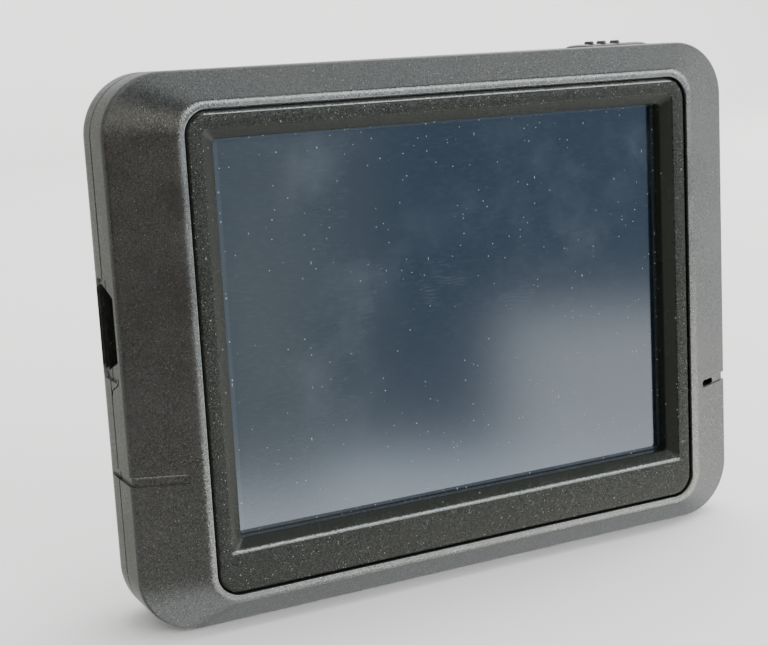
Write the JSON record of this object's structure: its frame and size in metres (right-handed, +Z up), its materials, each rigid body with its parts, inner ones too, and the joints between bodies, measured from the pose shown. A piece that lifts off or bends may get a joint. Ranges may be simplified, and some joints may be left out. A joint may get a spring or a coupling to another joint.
{
  "type": "portable gps navigator",
  "caption": "Flat hand-sized navigator with a framed touch display, a sloped front bezel, a sliding power knob on top, a USB port in the left side and a curved back with a speaker grille.",
  "frame": {"origin": "middle of the case's underside, half way through its thickness", "axes": "+X to the user's right, +Y from the display to the back, +Z up. The display faces -Y."},
  "size_m": [0.098, 0.0204, 0.0751],
  "materials": {
    "case_grey": "fine metallic paint on moulded plastic, satin",
    "surround_black": "dark moulded plastic with a faint sparkle, satin",
    "screen_film": "resistive touch film, semi-gloss",
    "lcd_glass": "display glass",
    "foam": "closed-cell foam",
    "white_plastic": "moulded white plastic",
    "sheet_steel": "tinned pressed steel",
    "solder_mask": "green board laminate",
    "ceramic": "unglazed ceramic",
    "battery_wrap": "blue printed-free film wrap",
    "black_plastic": "moulded black plastic",
    "magnet": "plated magnet and yoke",
    "cone_paper": "dark film cone",
    "cloth": "fine black dust cloth",
    "rubber": "soft moulded rubber",
    "label": "blank silvery label film",
    "polyimide": "amber flexible printed cable",
    "red_wire": "red wire insulation",
    "black_wire": "black wire insulation",
    "screw_steel": "black oxide steel"
  },
  "bodies": {
    "case": {"front_bezel": "case_grey", "rear_housing": "case_grey", "display_surround": "surround_black", "touch_panel": "screen_film", "lcd_panel": "lcd_glass", "touch_gasket": "foam", "battery_foam": "foam", "speaker_gasket": "foam", "backlight_tray": "white_plastic", "battery_header": "white_plastic", "speaker_header": "white_plastic", "chassis_plate": "sheet_steel", "radio_shield": "sheet_steel", "processor_shield": "sheet_steel", "antenna_feed_pin": "sheet_steel", "microphone_capsule": "sheet_steel", "usb_shell": "sheet_steel", "card_socket_cover": "sheet_steel", "card_eject_spring": "sheet_steel", "main_board": "solder_mask", "antenna_patch": "ceramic", "battery_pack": "battery_wrap", "processor_chip": "black_plastic", "memory_chip": "black_plastic", "speaker_basket": "black_plastic", "usb_tongue": "black_plastic", "card_socket_base": "black_plastic", "switch_housing": "black_plastic", "display_connector": "black_plastic", "touch_connector": "black_plastic", "speaker_magnet": "magnet", "speaker_cloth": "cloth", "microphone_boot": "rubber", "rear_label": "label", "display_cable": "polyimide", "touch_cable": "polyimide", "battery_lead_red": "red_wire", "speaker_lead_red": "red_wire", "battery_lead_black": "black_wire", "speaker_lead_black": "black_wire", "board_screw_1": "screw_steel", "board_screw_2": "screw_steel", "board_screw_3": "screw_steel", "board_screw_4": "screw_steel", "case_screw_left_low": "screw_steel", "case_screw_left_high": "screw_steel", "case_screw_right_low": "screw_steel", "case_screw_right_high": "screw_steel"},
    "knob": {"power_knob": "case_grey"},
    "lever": {"switch_lever": "white_plastic"},
    "cone": {"speaker_cone": "cone_paper"},
    "ejector": {"card_eject_slider": "white_plastic"}
  },
  "joints": [
    {"name": "power_slide", "type": "slide", "parent": "case", "child": "knob", "axis": [1, 0, 0], "range_m": [-0.0012, 0.0012], "stiffness_N_per_m": 300},
    {"name": "switch_slide", "type": "slide", "parent": "case", "child": "lever", "axis": [1, 0, 0], "range_m": [-0.0012, 0.0012]},
    {"name": "cone_slide", "type": "slide", "parent": "case", "child": "cone", "axis": [0, 1, 0], "range_m": [-0.0003, 0.0003], "stiffness_N_per_m": 800},
    {"name": "card_eject_slide", "type": "slide", "parent": "case", "child": "ejector", "axis": [1, 0, 0], "range_m": [-0.0041, 0], "stiffness_N_per_m": 250, "deforming": ["card_eject_spring"]}
  ],
  "couplings": [
    {"joint": "switch_slide", "follows": "power_slide", "ratio": 1}
  ]
}
